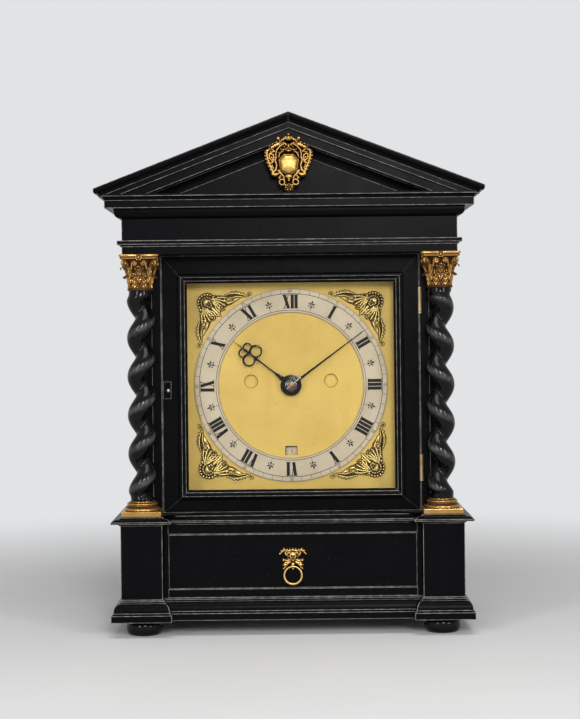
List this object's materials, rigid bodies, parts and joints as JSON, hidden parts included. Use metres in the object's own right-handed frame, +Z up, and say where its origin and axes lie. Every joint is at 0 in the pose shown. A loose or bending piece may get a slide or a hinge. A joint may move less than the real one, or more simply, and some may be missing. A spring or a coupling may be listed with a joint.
{
  "type": "bracket clock",
  "caption": "Ebonised architectural table clock with a pedimented top, twist columns, gilt mounts, square dial, plinth drawer and fusee movement.",
  "frame": {"origin": "on the ground, at the middle of the clock's width and depth", "axes": "+Z up, front facing -Y, +X to the right of someone facing the dial"},
  "size_m": [0.413, 0.27, 0.5563],
  "materials": {
    "ebony": "polished ebonised veneer",
    "oak": "plain planed oak",
    "glass": "clear old sheet glass",
    "gilt": "fire-gilt brass",
    "silvered": "silvered brass, wax-filled engraving",
    "blued_steel": "blued steel",
    "brass": "brushed and lacquered",
    "bell_metal": "turned bell metal"
  },
  "bodies": {
    "case": {"bun_foot_front_left": "ebony", "bun_foot_front_right": "ebony", "bun_foot_rear_left": "ebony", "bun_foot_rear_right": "ebony", "base_moulding": "ebony", "plinth_carcase": "ebony", "cap_moulding": "ebony", "case_frame": "ebony", "side_glass_left": "glass", "side_glass_right": "glass", "front_door_hinge_lower": "brass", "front_door_hinge_upper": "brass", "column_base_left": "gilt", "column_left": "ebony", "capital_left": "gilt", "column_base_right": "gilt", "column_right": "ebony", "capital_right": "gilt", "entablature": "ebony", "cornice": "ebony", "pediment": "ebony", "pediment_mount": "gilt", "dial_plate": "gilt", "chapter_ring": "silvered", "spandrel_upper_right": "gilt", "spandrel_upper_left": "gilt", "spandrel_lower_left": "gilt", "spandrel_lower_right": "gilt", "front_plate": "brass", "back_plate": "brass", "back_cock": "brass", "bell": "bell_metal"},
    "front_door": {"front_door_frame": "ebony", "front_door_glass": "glass"},
    "door_bolt": {"door_lock_bolt": "blued_steel"},
    "back_door": {"back_door_frame": "ebony", "back_door_glass": "glass"},
    "drawer": {"drawer_front": "ebony", "drawer_box": "oak", "drawer_pull_plate": "gilt"},
    "pull_ring": {"drawer_pull_ring": "gilt"},
    "shutter": {"winding_shutter": "brass"},
    "date_ring": {"date_ring": "silvered"},
    "hour_hand": {"hour_hand": "blued_steel", "hour_wheel": "brass"},
    "minute_hand": {"centre_arbor": "blued_steel", "minute_hand": "blued_steel", "hand_collet": "blued_steel"},
    "minute_wheel": {"minute_wheel": "brass"},
    "going_fusee": {"going_fusee": "brass"},
    "going_barrel": {"going_barrel": "brass"},
    "contrate_wheel": {"contrate_wheel": "brass"},
    "crown_wheel": {"crown_wheel": "brass"},
    "pendulum": {"verge_pendulum": "brass"},
    "strike_fusee": {"strike_fusee": "brass", "count_wheel": "brass"},
    "strike_barrel": {"strike_barrel": "brass"},
    "pin_wheel": {"pin_wheel": "brass"},
    "fly": {"fly": "brass"},
    "hammer": {"hammer": "blued_steel"}
  },
  "joints": [
    {"name": "front_door_hinge", "type": "hinge", "parent": "case", "child": "front_door", "pos_m": [0.1408, -0.0736, 0.266], "axis": [0, 0, 1], "range_deg": [0, 78]},
    {"name": "door_bolt_slide", "type": "slide", "parent": "front_door", "child": "door_bolt", "axis": [-1, 0, 0], "range_m": [0, 0.006]},
    {"name": "back_door_hinge", "type": "hinge", "parent": "case", "child": "back_door", "pos_m": [-0.1408, 0.1036, 0.2675], "axis": [0, 0, 1], "range_deg": [0, 105]},
    {"name": "drawer_slide", "type": "slide", "parent": "case", "child": "drawer", "axis": [0, -1, 0], "range_m": [0, 0.15]},
    {"name": "pull_ring_swing", "type": "hinge", "parent": "drawer", "child": "pull_ring", "pos_m": [0, -0.1042, 0.073], "axis": [-1, 0, 0], "range_deg": [0, 100]},
    {"name": "shutter_lift", "type": "slide", "parent": "case", "child": "shutter", "axis": [0, 0, 1], "range_m": [0, 0.017]},
    {"name": "minute_hand_spin", "type": "hinge", "parent": "case", "child": "minute_hand", "pos_m": [0, 0, 0.2652], "axis": [0, 1, 0], "continuous": true},
    {"name": "hour_hand_spin", "type": "hinge", "parent": "case", "child": "hour_hand", "pos_m": [0, 0, 0.2652], "axis": [0, 1, 0], "continuous": true},
    {"name": "minute_wheel_spin", "type": "hinge", "parent": "case", "child": "minute_wheel", "pos_m": [0, 0, 0.2382], "axis": [0, 1, 0], "continuous": true},
    {"name": "date_ring_spin", "type": "hinge", "parent": "case", "child": "date_ring", "pos_m": [0, 0, 0.2652], "axis": [0, 1, 0], "continuous": true},
    {"name": "going_fusee_spin", "type": "hinge", "parent": "case", "child": "going_fusee", "pos_m": [0.044, 0, 0.2698], "axis": [0, 1, 0], "continuous": true},
    {"name": "going_barrel_spin", "type": "hinge", "parent": "case", "child": "going_barrel", "pos_m": [0.046, 0, 0.2192], "axis": [0, 1, 0], "continuous": true},
    {"name": "contrate_wheel_spin", "type": "hinge", "parent": "case", "child": "contrate_wheel", "pos_m": [0, 0, 0.29718], "axis": [0, 1, 0], "continuous": true},
    {"name": "crown_wheel_spin", "type": "hinge", "parent": "case", "child": "crown_wheel", "pos_m": [0, 0.02027, 0.33518], "axis": [0, 0, 1], "continuous": true},
    {"name": "pendulum_swing", "type": "hinge", "parent": "case", "child": "pendulum", "pos_m": [0, 0.054, 0.34918], "axis": [0, 1, 0], "range_deg": [-12, 12]},
    {"name": "strike_fusee_spin", "type": "hinge", "parent": "case", "child": "strike_fusee", "pos_m": [-0.044, 0, 0.2698], "axis": [0, 1, 0], "continuous": true},
    {"name": "strike_barrel_spin", "type": "hinge", "parent": "case", "child": "strike_barrel", "pos_m": [-0.046, 0, 0.2192], "axis": [0, 1, 0], "continuous": true},
    {"name": "pin_wheel_spin", "type": "hinge", "parent": "case", "child": "pin_wheel", "pos_m": [-0.03005, 0, 0.31178], "axis": [0, 1, 0], "continuous": true},
    {"name": "fly_spin", "type": "hinge", "parent": "case", "child": "fly", "pos_m": [-0.03689, 0, 0.33056], "axis": [0, 1, 0], "continuous": true},
    {"name": "hammer_lift", "type": "hinge", "parent": "case", "child": "hammer", "pos_m": [-0.062, 0, 0.3152], "axis": [0, -1, 0], "range_deg": [0, 9]}
  ],
  "couplings": [
    {"joint": "hour_hand_spin", "follows": "minute_hand_spin", "ratio": 0.083333},
    {"joint": "minute_wheel_spin", "follows": "minute_hand_spin", "ratio": -1},
    {"joint": "date_ring_spin", "follows": "minute_hand_spin", "ratio": 0.0013441},
    {"joint": "going_fusee_spin", "follows": "minute_hand_spin", "ratio": -0.083333},
    {"joint": "going_barrel_spin", "follows": "minute_hand_spin", "ratio": -0.05303},
    {"joint": "contrate_wheel_spin", "follows": "minute_hand_spin", "ratio": -12},
    {"joint": "crown_wheel_spin", "follows": "minute_hand_spin", "ratio": -156},
    {"joint": "strike_barrel_spin", "follows": "strike_fusee_spin", "ratio": 0.63636},
    {"joint": "pin_wheel_spin", "follows": "strike_fusee_spin", "ratio": -9.75},
    {"joint": "fly_spin", "follows": "strike_fusee_spin", "ratio": 78}
  ]
}
